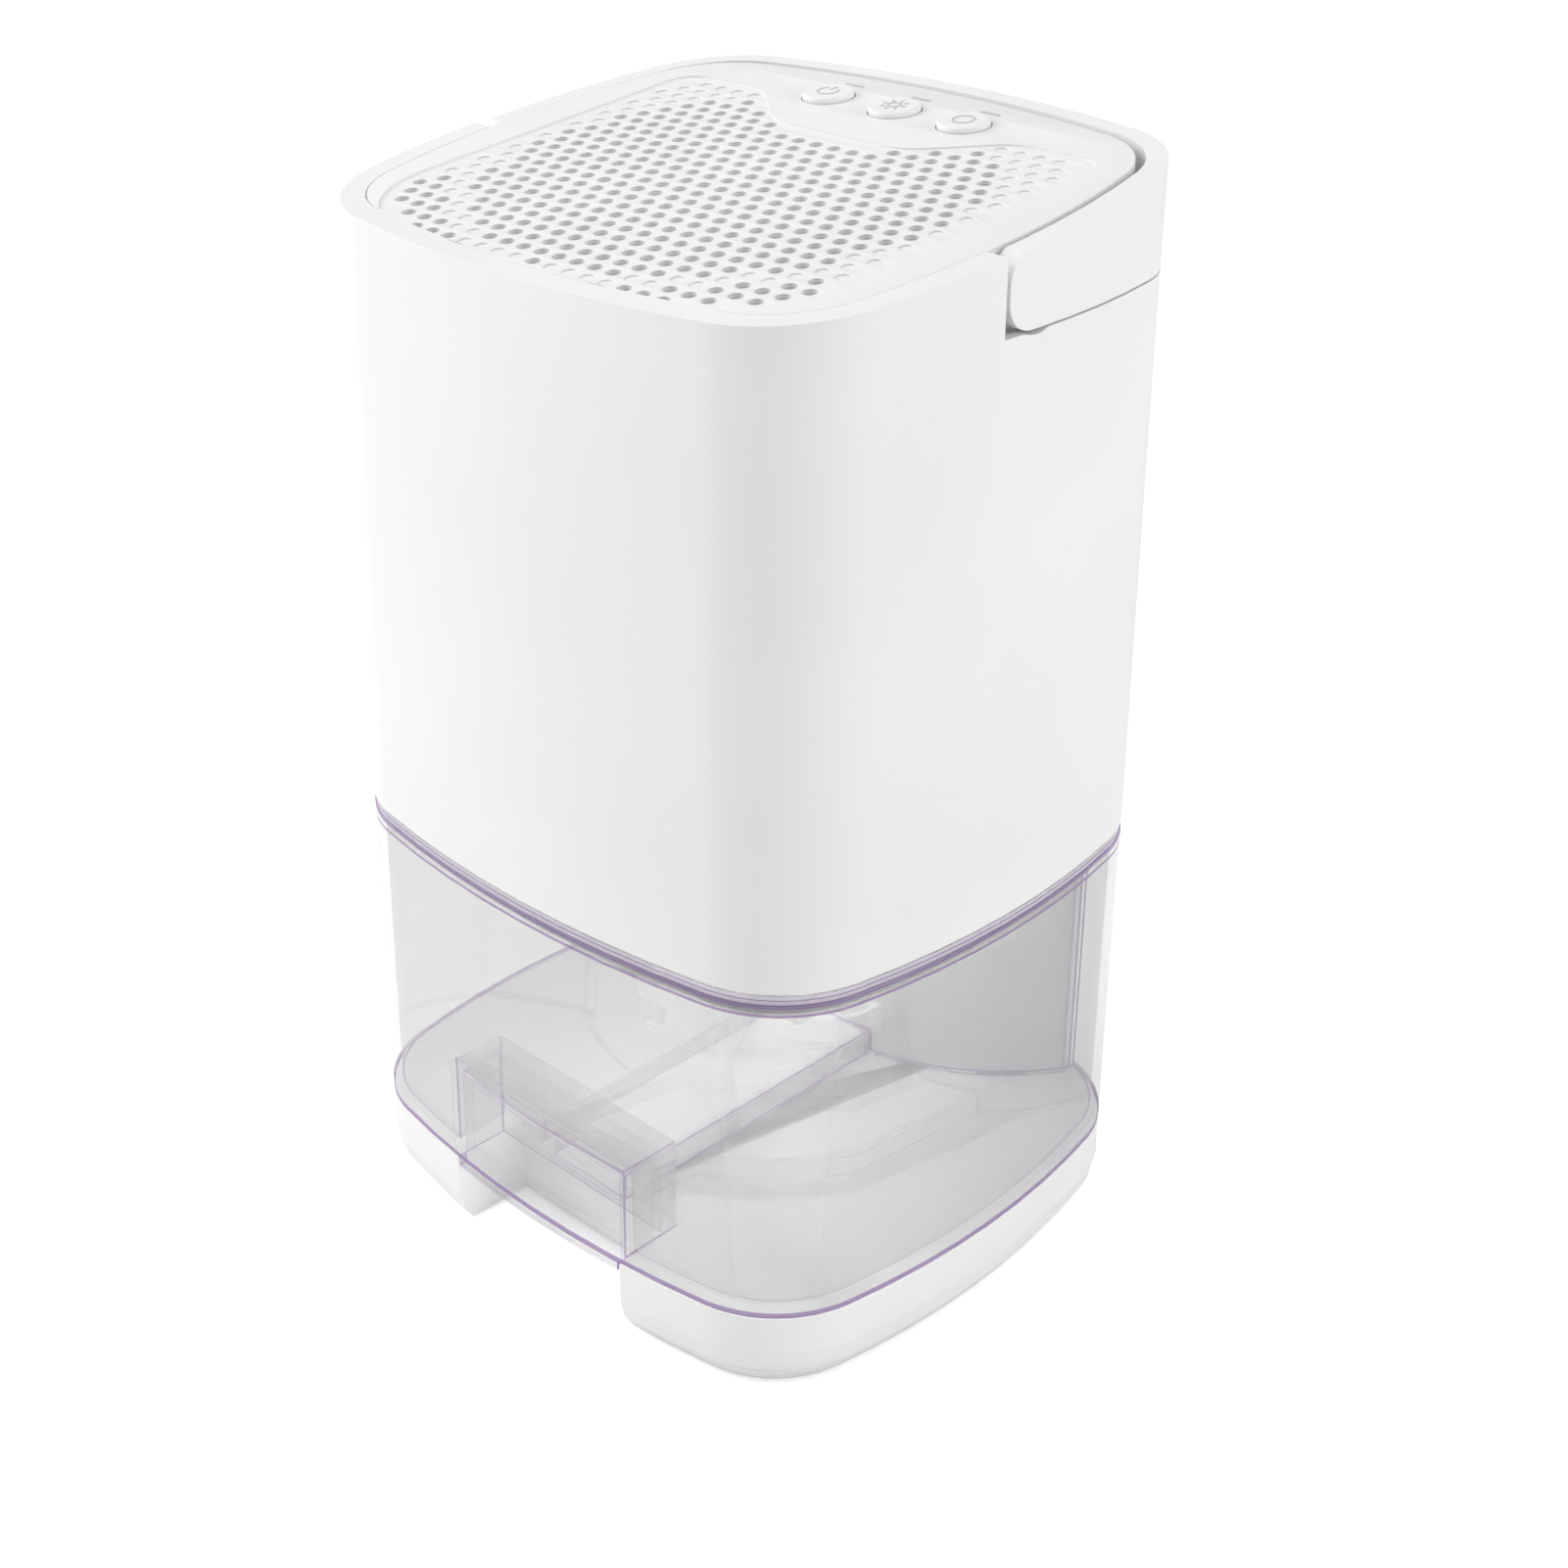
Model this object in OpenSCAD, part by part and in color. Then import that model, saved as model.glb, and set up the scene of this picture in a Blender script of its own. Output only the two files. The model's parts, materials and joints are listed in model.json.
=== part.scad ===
// Thermoelectric dehumidifier with a slide-out clear water tank and a bail handle.
// Frame: origin on the floor under the middle of the body, front towards -Y, +Z up, millimetres.

/* [Body] */
// Width of the body, side to side
body_w = 152; // [128:1:182]
// Depth of the body, front to back
body_d = 135; // [114:1:162]
// Height of the rear top edge above the floor
body_h = 250; // [212:1:300]
// Radius of the four upright corners
corner_r = 28; // [20:1:33]
// Bulge of the left and right sides at their middle
bulge_x = 3.6; // [1:0.2:5]
// Bulge of the front and the back at their middle
bulge_y = 4.1; // [1:0.2:5]
// Lean of each side from the waist up to the top edge
top_draft = 0.9; // [0.2:0.1:1.4]
// Rise of the top surface for each millimetre of depth
top_slope = 0.12; // [0.04:0.01:0.14]
// Wall of the white shells
shell_wall = 2.2; // [1.8:0.1:2.6]

/* [Base and waist] */
// Height of the base, feet included
base_h = 19.8; // [16.5:0.1:24]
// Height of the waist, where the housing sits over the tank
waist_z = 100; // [84:1:120]
// How far the foot of the base draws in
base_inset = 3.6; // [2:0.2:5]
// Clear gap between the tank and the pieces around it
tank_gap = 0.6; // [0.4:0.1:1]
// Radius of the rubber feet
foot_r = 6; // [4:0.5:8]

/* [Rear column] */
// Radius of the column's curved front
column_r = 59.4; // [50:0.2:68]
// Distance of that curve's centre behind the middle of the body
column_y = 90; // [86:1:100]
// Half the width of the column
column_half_w = 50.5; // [42:0.5:56]

/* [Tank] */
// Wall of the clear tank
tank_wall = 2.2; // [1.8:0.1:2.6]
// Half the width of the finger pocket, outside
pocket_half_w = 29; // [24:0.5:34]
// Depth of the finger pocket behind the front wall
pocket_depth = 17; // [14:0.5:20]
// Height of the finger pocket's ceiling above the floor
pocket_top = 45; // [38:0.5:54]
// How far the finger panel hangs below the tank's floor
panel_drop = 2.4; // [1:0.2:4]
// Half the width of the groove under the tank
groove_half_w = 12; // [9:0.5:15]
// Height of the groove under the tank
groove_h = 6.4; // [5:0.2:9]

/* [Handle] */
// Thickness of the bail handle
handle_t = 4.5; // [4:0.1:6]
// Half the height of the arms at the hinge
arm_half_h = 8.1; // [7:0.1:9]
// Gap between each arm and the well behind it
arm_gap = 1; // [0.6:0.1:1.6]
// Gap between the rear bar and the well in front of it
bar_gap = 2.9; // [2.6:0.1:4]
// Radius of the hinge pins
pin_r = 3; // [2.4:0.1:3.6]

/* [Top cover] */
// Thickness of the top cover
cover_t = 2.5; // [2:0.1:3.2]
// Spacing of the air holes, at twice the moulded grid's 5 mm
hole_pitch = 10; // [9:0.1:14]
// Diameter of the air holes
hole_d = 3.1; // [2.6:0.1:3.6]
// Radius of the round outlet over the fan
outlet_r = 53; // [44:1:58]
// Diameter of the button caps
button_d = 11.4; // [9:0.1:14]
// Spacing of the buttons
button_pitch = 19.2; // [16:0.1:24]
// Travel of the buttons
button_travel = 0.8; // [0.5:0.1:1.2]

/* [Cooling unit] */
// Side of the square fan
fan_w = 92; // [80:1:92]
// Height of the fan
fan_h = 25; // [20:1:28]
// Side of the hot heat sink
hot_w = 84; // [70:1:88]
// Side of the cold heat sink
cold_w = 78; // [64:1:82]
// Length of the cold fins
cold_fin_h = 16; // [12:1:20]
// Side of the thermoelectric module
module_w = 40; // [30:1:50]

/* [Hidden] */
$fn = 48;

white = "whitesmoke";
clear = [0.86, 0.86, 0.9, 0.4];
side_steps = 8;
corner_steps = 12;
far = 400;

slope_deg = atan(top_slope);
flush = 0.4;                                  // the handle's top lies this far under the cover's
top_mid_z = body_h + flush - top_slope * (body_d / 2 - top_draft);
liner = shell_wall + top_draft;               // inset of the shells' straight inner face

// Handle, hinge and well
handle_in = top_draft + handle_t;             // inset of the handle's inner face
well_x = handle_in + arm_gap;                 // inset of the well behind the arms
well_y = handle_in + bar_gap;                 // inset of the well in front of the rear bar
hinge_y = 0;
hinge_z = top_mid_z - flush - arm_half_h + 0.2;
arm_corner_r = arm_half_h - 1.6;
swing_r = (arm_half_h - arm_corner_r) * sqrt(2) + arm_corner_r + 0.45;
handle_z = hinge_z - arm_half_h;              // underside of the handle
ledge_z = handle_z - 0.4;
arm_cut_y = hinge_y - swing_r;
seam_y = 1;
pin_clear = 0.06;
pin_len = handle_t - 1.3;                     // how deep the pin reaches into the arm

// Cover
cover_front = -body_d / 2 + well_x;
cover_back = body_d / 2 - well_y;
cover_gap = 0.2;
field_half_w = body_w / 2 - well_x - 10;
field_front = cover_front + 0.8;
field_corner_r = 24;
field_depth = 0.4;
wave_side_y = cover_back - 18;                // edge of the smooth zone at the two sides
wave_depth = 15;                              // how far the smooth zone comes forward
wave_in = 14;                                 // where the wave starts to turn back
wave_out = 40;                                // where it has turned back
outlet_y = -5;
band_r = outlet_r + 4.5;                      // the outer front band of holes starts here
band_y = -body_d / 2 + 33;
dimple_depth = 1;

// Buttons, in the plane of the sloped top
button_y = cover_back - 14.8;
button_proud = 1.2;
button_gap = 0.3;
flange_t = 1;
flange_r = button_d / 2 + 1.4;
flange_z = -cover_t - 0.35;                   // top of the button's flange
stem_r = 2;
stem_end = flange_z - flange_t - 2;
plunger_top = stem_end - button_travel - 0.3;
switch_h = 3.4;
plunger_h = 0.6;
switch_w = 6.2;
board_top = plunger_top - plunger_h - switch_h;
board_t = 1.6;
board_half_w = 1.9 * button_pitch;
board_d = 21;
board_y = button_y - 2.5;

// Housing floor and cooling stack, from the waist up
plate_t = 2.4;
plate_top = waist_z + plate_t;
stack_y = outlet_y;
tray_z = plate_top + 1.6;
tray_h = 11;
tray_w = cold_w + 14;
tray_wall = 2;
spout_r = 6;
tray_floor = tray_wall + 2;
cold_z = tray_z + tray_floor + 1.5;            // tip of the cold fins
cold_base_t = 4;
cold_base_z = cold_z + cold_fin_h;
module_t = 3.8;
module_z = cold_base_z + cold_base_t;
hot_z = module_z + module_t;
hot_base_t = 5;
fan_top = top_mid_z + top_slope * (stack_y - fan_w / 2) - cover_t - 8;
fan_z = fan_top - fan_h;
hot_fin_top = fan_z - 3;
screw_xy = 33;
duct_wall = 2;
duct_ledge_t = 2.4;
leg_w = 4;
fan_bore_r = fan_w / 2 - 1.8;
blade_r = fan_bore_r - 1.2;
hub_r = 18;
shaft_r = 4;
blades = 9;

// Tank levels
tank_z = base_h + tank_gap - 0.2;
tank_floor = 2.5;
lid_flange_t = 1.9;
lid_top = waist_z - tank_gap;
tank_top = lid_top - lid_flange_t;
lid_plug_h = 4.2;
lid_inset = tank_wall + 0.7;
seal_h = 1.6;
panel_z = tank_z - panel_drop;
float_x = 20;
float_y = -14;
float_r = 8;
float_h = 13;
float_rest = lid_top - 34;
float_travel = 18;
guide_r = 1.5;
guide_x = 11.5;
magnet_r = 3;
magnet_h = 3;
drip_hole_r = 10;
pour_x = -38;
pour_y = -30;
pour_r = 9;

// Base
foot_h = 1;
skirt = 2.6;
deck_t = 2.6;
notch_half_w = pocket_half_w - 1.8;
notch_y = -body_d / 2 + pocket_depth + 4.5;
// The groove runs out through the tank's curved back
groove_runout = 2;
rail_half_w = groove_half_w - 0.7;
rail_top = tank_z + groove_h - 0.7;
rail_front = notch_y + 4;
boss_r = 4.5;

// Small fixings, the air intake and the power socket
boss_h = 22;
screw_len = 16;
screw_r = 1.5;
screw_head_r = 2.8;
head_sink = 1.4;
rim_depth = 2;
ledge_t = 2.4;
base_screw_x = 30;
base_screw_y = body_d / 2 - shell_wall - boss_r - 3;
fan_hole_xy = fan_w / 2 - 4.8;
led_w = 3;
slot_rows = 3;
slot_cols = 11;
slot_pitch = 6.6;
slot_w = 3;
slot_len = 24;
slot_z = plate_top + 32;
jack_r = 5.5;
jack_bore_r = 2.8;
jack_pin_r = 1.05;
jack_x = 30;
jack_z = plate_top + 14;
jack_face_y = body_d / 2 - 2.6;

// Corner places shared by the bosses, screws and feet
corner_cx = body_w / 2 - bulge_x - corner_r;
corner_cy = body_d / 2 - bulge_y - corner_r;
boss_reach = (corner_r - liner - 4) / sqrt(2);
boss_x = corner_cx + boss_reach;
boss_y = corner_cy + boss_reach;
foot_x = corner_cx + 6;
foot_y = corner_cy + 6;

assert(float_rest + float_h + float_travel < tank_top, "the float meets the lid");

// Points of an arc, without its last point
function arc(c, r, a0, a1, n) =
    [for (i = [0:n - 1]) c + r * [cos(a0 + (a1 - a0) * i / n), sin(a0 + (a1 - a0) * i / n)]];

// Bulged square with round corners: half width a, half depth b, corner radius r
function bulged(a, b, r) =
    let (
        cx = a - bulge_x - r,
        cy = b - bulge_y - r,
        rx = (cy * cy + bulge_x * bulge_x) / (2 * bulge_x),
        ry = (cx * cx + bulge_y * bulge_y) / (2 * bulge_y),
        ax = asin(cy / rx),
        ay = asin(cx / ry)
    )
    concat(
        arc([cx - rx + bulge_x, 0], rx + r, -ax, ax, side_steps),
        arc([cx, cy], r, ax, 90 - ay, corner_steps),
        arc([0, cy - ry + bulge_y], ry + r, 90 - ay, 90 + ay, side_steps),
        arc([-cx, cy], r, 90 + ay, 180 - ax, corner_steps),
        arc([rx - cx - bulge_x, 0], rx + r, 180 - ax, 180 + ax, side_steps),
        arc([-cx, -cy], r, 180 + ax, 270 - ay, corner_steps),
        arc([0, ry - cy - bulge_y], ry + r, 270 - ay, 270 + ay, side_steps),
        arc([cx, -cy], r, 270 + ay, 360 - ax, corner_steps)
    );

function cover_points(more) = [
    for (p = bulged(
        body_w / 2 - well_x - more,
        (cover_back - cover_front) / 2 - more,
        corner_r - well_x - more
    )) p + [0, (cover_front + cover_back) / 2]
];

// The same points as they lie in the sloped plane of the top
function on_slope(points) = [for (p = points) [p[0], p[1] / cos(slope_deg)]];

module outline(inset) {
    polygon(bulged(body_w / 2 - inset, body_d / 2 - inset, corner_r - inset));
}

// Ground plan of the well, and of the cover that closes it, made smaller by more
module cover_plan(more = 0) {
    polygon(cover_points(more));
}

module prism(z0, z1) {
    translate([0, 0, z0]) linear_extrude(height = z1 - z0) children();
}

// Everything from y0 back to y1, between z0 and z1
module zone(y0, y1, z0, z1) {
    translate([-far / 2, y0, z0]) cube([far, y1 - y0, z1 - z0]);
}

// Frame of the sloped top: its origin is on the surface above the middle
module on_top() {
    translate([0, 0, top_mid_z]) rotate([slope_deg, 0, 0]) children();
}

module below_top(dz = 0) {
    on_top() translate([-far / 2, -far / 2, dz - far]) cube([far, far, far]);
}

module leaning_body() {
    translate([0, 0, waist_z]) linear_extrude(
        height = body_h - waist_z,
        scale = [1 - 2 * top_draft / body_w, 1 - 2 * top_draft / body_d],
        slices = 1
    ) outline(0);
}

module screw(length, r, head_r, head_h) {
    cylinder(h = length, r = r);
    translate([0, 0, -head_h]) cylinder(h = head_h, r = head_r);
}

module at_corners(x, y) {
    for (sx = [-1, 1], sy = [-1, 1]) translate([sx * x, sy * y, 0]) children();
}

module skin() {
    difference() {
        leaning_body();
        prism(waist_z - 1, body_h + 1) outline(liner);
    }
}

module swing_space() {
    for (s = [0, 180]) rotate([0, 0, s]) translate([body_w / 2 - well_x, hinge_y, hinge_z])
        rotate([0, 90, 0]) cylinder(h = well_x + 5, r = swing_r);
}

module boss_pair(side) {
    intersection() {
        for (s = [-1, 1]) translate([s * boss_x, side * boss_y, plate_top])
            cylinder(h = boss_h, r = boss_r);
        prism(0, far) outline(liner - 0.6);
    }
}

module boss_holes(side) {
    for (s = [-1, 1]) translate([s * boss_x, side * boss_y, plate_top - 1])
        cylinder(h = screw_len, r = screw_r);
}

module front_shell() {
    color(white) difference() {
        intersection() {
            union() {
                skin();
                boss_pair(-1);
                difference() {
                    prism(ledge_z - rim_depth, body_h) outline(liner - 1);
                    prism(ledge_z - rim_depth - 1, body_h + 1) cover_plan(-cover_gap);
                    below_top(-cover_t - 1.5);
                }
            }
            below_top();
            union() {
                zone(-far, seam_y, 0, ledge_z);
                zone(-far, arm_cut_y, ledge_z - 1, far);
            }
        }
        swing_space();
        boss_holes(-1);
    }
}

module intake_slots() {
    for (row = [0:slot_rows - 1], col = [0:slot_cols - 1])
        translate([
            (col - (slot_cols - 1) / 2) * slot_pitch - slot_w / 2,
            body_d / 2 - 12,
            slot_z + row * (slot_len + 6)
        ]) cube([slot_w, 20, slot_len]);
}

module rear_shell() {
    color(white) difference() {
        union() {
            intersection() {
                union() {
                    skin();
                    boss_pair(1);
                }
                zone(seam_y, far, 0, ledge_z);
            }
            difference() {
                intersection() {
                    prism(ledge_z - ledge_t, ledge_z) outline(liner - 1);
                    zone(seam_y, far, 0, far);
                }
                prism(0, far) cover_plan(shell_wall);
            }
            difference() {
                intersection() {
                    prism(ledge_z - ledge_t, far) cover_plan();
                    zone(arm_cut_y, far, 0, far);
                    below_top(-cover_t);
                }
                prism(0, far * 2) cover_plan(shell_wall);
            }
            intersection() {
                difference() {
                    prism(ledge_z - ledge_t, ledge_z) outline(liner + 0.1);
                    prism(0, far) cover_plan(shell_wall);
                }
                zone(arm_cut_y, seam_y + 0.1, 0, far);
            }
        }
        swing_space();
        boss_holes(1);
        intake_slots();
        translate([jack_x, 0, jack_z]) rotate([-90, 0, 0]) cylinder(h = far, r = jack_r + 0.1);
        pin_bores();
    }
}

module pin_bores() {
    for (s = [0, 180]) rotate([0, 0, s]) translate([body_w / 2 - well_x - 8, hinge_y, hinge_z])
        rotate([0, 90, 0]) cylinder(h = 9, r = pin_r);
}

module handle_pins() {
    color(white) for (s = [0, 180]) rotate([0, 0, s]) {
        translate([body_w / 2 - well_x - shell_wall - 1.5, hinge_y, hinge_z])
            rotate([0, 90, 0]) cylinder(h = shell_wall + 1.5 + arm_gap + pin_len, r = pin_r);
        translate([body_w / 2 - well_x - shell_wall - 2.5, hinge_y, hinge_z])
            rotate([0, 90, 0]) cylinder(h = 2.2, r = pin_r + 2);
    }
}

module rounded_arm_plan() {
    // side view of the arm's end, y along X here and z along Y
    hull() {
        for (s = [-1, 1]) translate([arm_corner_r - arm_half_h, s * (arm_half_h - arm_corner_r)])
            circle(r = arm_corner_r);
        translate([far / 2, -arm_half_h]) square([1, arm_half_h * 2]);
    }
}

module handle() {
    color(white) difference() {
        intersection() {
            difference() {
                prism(handle_z, body_h + 5) outline(top_draft);
                prism(handle_z - 1, body_h + 6) outline(handle_in);
            }
            below_top(-flush);
            union() {
                zone(hinge_y + 2, far, 0, far);
                translate([far / 2, hinge_y, hinge_z]) rotate([90, 0, -90])
                    mirror([1, 0, 0]) linear_extrude(height = far) rounded_arm_plan();
            }
        }
        for (s = [0, 180]) rotate([0, 0, s])
            translate([body_w / 2 - handle_in - 1, hinge_y, hinge_z])
                rotate([0, 90, 0]) cylinder(h = pin_len + 1.3, r = pin_r + pin_clear);
    }
}

// Plan of the column, grown on its front and sides by more
module column_plan(more = 0) {
    intersection() {
        translate([0, column_y]) circle(r = column_r + more, $fn = 120);
        translate([-column_half_w - more, 0]) square([2 * (column_half_w + more), column_y]);
    }
}

module rear_column() {
    color(white) difference() {
        prism(base_h, waist_z) intersection() {
            column_plan();
            outline(0.1);
        }
        difference() {
            prism(base_h + deck_t, waist_z + 1) intersection() {
                column_plan(-shell_wall);
                outline(shell_wall);
            }
            column_bosses(boss_r, base_h, far);
        }
        column_bosses(screw_r, base_h - 1, 12);
        column_bosses(screw_r, waist_z - 12, far);
    }
}

module column_bosses(r, z, h) {
    for (x = [-1, 0, 1] * base_screw_x)
        translate([x, base_screw_y, z]) cylinder(h = h, r = r);
}

module bowl() {
    steps = [[foot_h, base_inset], [foot_h + 4, base_inset / 3], [foot_h + 9, 0], [base_h, 0]];
    for (i = [0:2]) translate([0, 0, steps[i][0]]) linear_extrude(
        height = steps[i + 1][0] - steps[i][0],
        scale = [
            (body_w / 2 - steps[i + 1][1]) / (body_w / 2 - steps[i][1]),
            (body_d / 2 - steps[i + 1][1]) / (body_d / 2 - steps[i][1])
        ],
        slices = 1
    ) outline(steps[i][1]);
}

module notch(more, z0, z1) {
    translate([-notch_half_w - more, -far, z0])
        cube([2 * (notch_half_w + more), far + notch_y + more, z1 - z0]);
}

module base_tray() {
    color(white) difference() {
        union() {
            difference() {
                bowl();
                difference() {
                    prism(-1, base_h - deck_t) outline(base_inset + skirt);
                    notch(skirt, -2, far);
                    at_corners(foot_x, foot_y) cylinder(h = base_h, r = foot_r + 1);
                    column_bosses(boss_r, 0, base_h);
                }
            }
            translate([-rail_half_w, rail_front, base_h - 1])
                cube([2 * rail_half_w, column_y - column_r - rail_front - 0.2, rail_top - base_h + 1]);
        }
        notch(0, -1, far);
        column_bosses(screw_r + 0.1, -1, far);
        column_bosses(screw_head_r + 0.2, -1, base_h - deck_t - 2 + 1);
    }
}

module rubber_feet() {
    color("dimgray") at_corners(foot_x, foot_y) cylinder(h = foot_h, r = foot_r);
}

module base_screws() {
    color("silver") translate([0, 0, base_h - deck_t - 2])
        for (x = [-1, 0, 1] * base_screw_x)
            translate([x, base_screw_y, 0])
                screw(deck_t + 2 + 9, screw_r, screw_head_r, 2);
}

module bottom_plate() {
    color(white) difference() {
        prism(waist_z, plate_top) outline(liner + 0.1);
        translate([0, stack_y, waist_z - 1]) cylinder(h = plate_t + 2, r = spout_r + 0.3);
        at_corners(boss_x, boss_y) translate([0, 0, waist_z - 1])
            cylinder(h = far, r = screw_r + 0.1);
        at_corners(boss_x, boss_y) translate([0, 0, waist_z - 1])
            cylinder(h = 1 + head_sink, r = screw_head_r + 0.2);
        led_places() translate([0, 0, waist_z - 1]) cylinder(h = plate_t + 2, r = led_w);
        column_bosses(screw_r + 0.1, waist_z - 1, far);
    }
}

module column_screws() {
    color("silver") for (x = [-1, 0, 1] * base_screw_x)
        translate([x, base_screw_y, plate_top]) mirror([0, 0, 1])
            screw(plate_t + 9, screw_r, screw_head_r, 2);
}

module body_screws() {
    color("silver") at_corners(boss_x, boss_y) translate([0, 0, waist_z + head_sink])
        screw(screw_len - 3, screw_r, screw_head_r, head_sink - 0.2);
}

module drip_tray() {
    color("gainsboro") difference() {
        union() {
            translate([-tray_w / 2, stack_y - tray_w / 2, tray_z]) cube([tray_w, tray_w, tray_h]);
            at_corners(tray_w / 2 - 4, tray_w / 2 - 4) translate([0, stack_y, plate_top])
                cylinder(h = tray_z - plate_top + 1, r = 3);
            translate([0, stack_y, waist_z + 0.3])
                cylinder(h = tray_z - waist_z, r = spout_r);
        }
        translate([-tray_w / 2 + tray_wall, stack_y - tray_w / 2 + tray_wall, tray_z + tray_floor])
            cube([tray_w - 2 * tray_wall, tray_w - 2 * tray_wall, tray_h]);
        translate([0, stack_y, tray_z + tray_wall - 0.5])
            cylinder(h = 2.6, r1 = spout_r - 1.2, r2 = tray_w / 2 - 5);
        translate([0, stack_y, 0]) cylinder(h = far, r = spout_r - 1.5);
    }
}

module plate_with_bores(side, z, t) {
    difference() {
        translate([-side / 2, stack_y - side / 2, z]) cube([side, side, t]);
        sink_screw_bores(z);
    }
}

module sink_screw_bores(z) {
    translate([0, stack_y, z - 1]) at_corners(screw_xy, screw_xy)
        cylinder(h = 12, r = screw_r + 0.1);
}

module fins(side, count, z0, z1) {
    fin_t = 1.2;
    pitch = (side - fin_t) / (count - 1);
    difference() {
        for (i = [0:count - 1])
            translate([-side / 2 + i * pitch, stack_y - side / 2, z0]) cube([fin_t, side, z1 - z0]);
        translate([0, stack_y, z0 - 1]) at_corners(screw_xy, screw_xy)
            cylinder(h = far, r = screw_head_r + 0.8);
    }
}

module cold_sink() {
    color("silver") {
        plate_with_bores(cold_w, cold_base_z, cold_base_t);
        fins(cold_w, 14, cold_z, cold_base_z + 0.01);
    }
}

module peltier_module() {
    color("white") translate([-module_w / 2, stack_y - module_w / 2, module_z])
        cube([module_w, module_w, module_t]);
}

module foam_gasket() {
    color("dimgray") difference() {
        plate_with_bores(cold_w, module_z, module_t);
        translate([-module_w / 2, stack_y - module_w / 2, module_z - 1])
            cube([module_w, module_w, module_t + 2]);
    }
}

module hot_sink() {
    color("silver") {
        plate_with_bores(hot_w, hot_z, hot_base_t);
        fins(hot_w, 18, hot_z + hot_base_t - 0.01, hot_fin_top);
    }
}

module sink_screws() {
    color("gray") translate([0, stack_y, cold_base_z]) at_corners(screw_xy, screw_xy)
        screw(cold_base_t + module_t + hot_base_t, screw_r, screw_head_r, 2);
}

// Square duct from the hot sink up to the fan, on four legs, with a ledge that carries the sink
module air_duct() {
    outer = fan_w + 2 * duct_wall;
    leg = outer / 2 - duct_wall + 0.3;
    color("gainsboro") difference() {
        union() {
            translate([-outer / 2, stack_y - outer / 2, hot_z - duct_ledge_t])
                cube([outer, outer, fan_z - hot_z + duct_ledge_t]);
            for (sx = [0, 1], sy = [0, 1]) translate([0, stack_y, 0])
                mirror([sx, 0, 0]) mirror([0, sy, 0]) translate([leg, leg, plate_top])
                    cube([leg_w, leg_w, hot_z - plate_top + 12]);
        }
        translate([-fan_w / 2, stack_y - fan_w / 2, hot_z])
            cube([fan_w, fan_w, fan_z - hot_z - 3]);
        translate([-cold_w / 2 - 1, stack_y - cold_w / 2 - 1, hot_z - duct_ledge_t - 1])
            cube([cold_w + 2, cold_w + 2, duct_ledge_t + 2]);
        translate([0, stack_y, hot_z]) cylinder(h = far, r = fan_bore_r);
        translate([0, stack_y, hot_z]) at_corners(fan_hole_xy, fan_hole_xy)
            cylinder(h = far, r = screw_r + 0.1);
        for (s = [-1, 1])
            translate([-fan_w / 2 + 6, stack_y + s * outer / 2 - 5, hot_z + hot_base_t + 1])
                cube([fan_w - 12, 10, 13]);
    }
}

module fan_frame() {
    color("dimgray") difference() {
        union() {
            difference() {
                translate([-fan_w / 2, stack_y - fan_w / 2, fan_z]) cube([fan_w, fan_w, fan_h]);
                translate([0, stack_y, fan_z - 1]) cylinder(h = fan_h + 2, r = fan_bore_r, $fn = 96);
            }
            for (a = [45:90:315]) translate([0, stack_y, fan_z]) rotate([0, 0, a])
                translate([0, -2, 0]) cube([fan_bore_r + 2, 4, 2.5]);
            translate([0, stack_y, fan_z]) cylinder(h = 2.5, r = hub_r);
            translate([0, stack_y, fan_z]) cylinder(h = fan_h - 6, r = shaft_r);
        }
        translate([0, stack_y, fan_z - 1]) at_corners(fan_hole_xy, fan_hole_xy)
            cylinder(h = fan_h + 2, r = screw_r + 0.1);
    }
}

module blade(a) {
    rotate([0, 0, a]) intersection() {
        translate([hub_r - 1, 0, 0]) rotate([38, 0, 0])
            translate([0, -fan_h / 2 + 4, -0.7]) cube([blade_r, fan_h - 8, 1.4]);
        translate([0, 0, -fan_h]) cylinder(h = 2 * fan_h, r = blade_r, $fn = 96);
    }
}

module fan_rotor() {
    rotor_z = fan_z + 3.5;
    rotor_h = fan_h - 5;
    color("dimgray") translate([0, stack_y, rotor_z]) difference() {
        union() {
            cylinder(h = rotor_h, r = hub_r);
            translate([0, 0, rotor_h / 2]) for (i = [0:blades - 1]) blade(i * 360 / blades);
        }
        translate([0, 0, -1]) cylinder(h = rotor_h - 1.5, r = shaft_r + 0.05);
    }
}

module fan_screws() {
    color("silver") translate([0, stack_y, fan_top]) mirror([0, 0, 1])
        at_corners(fan_hole_xy, fan_hole_xy) screw(fan_h + 2, screw_r, screw_head_r, 2);
}

// Edge of the smooth zone behind the holes: level at the sides, coming forward in the middle
function wave(x) =
    let (t = min(1, max(0, (abs(x) - wave_in) / (wave_out - wave_in))))
    wave_side_y - wave_depth * (0.5 + 0.5 * cos(180 * t));

function in_field(x, y, m) =
    let (
        w = field_half_w - m,
        f = field_front + m,
        r = field_corner_r,
        dx = abs(x) - (w - r),
        dy = (f + r) - y
    )
    abs(x) < w && y > f && y < wave(x) - m && (dx < 0 || dy < 0 || norm([dx, dy]) < r);

function field_points() =
    let (w = field_half_w, r = field_corner_r, n = 24)
    concat(
        arc([w - r, field_front + r], r, -90, 0, corner_steps),
        [for (i = [0:n]) let (x = w - 2 * w * i / n) [x, wave(x)]],
        arc([r - w, field_front + r], r, 180, 270, corner_steps)
    );

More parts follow.
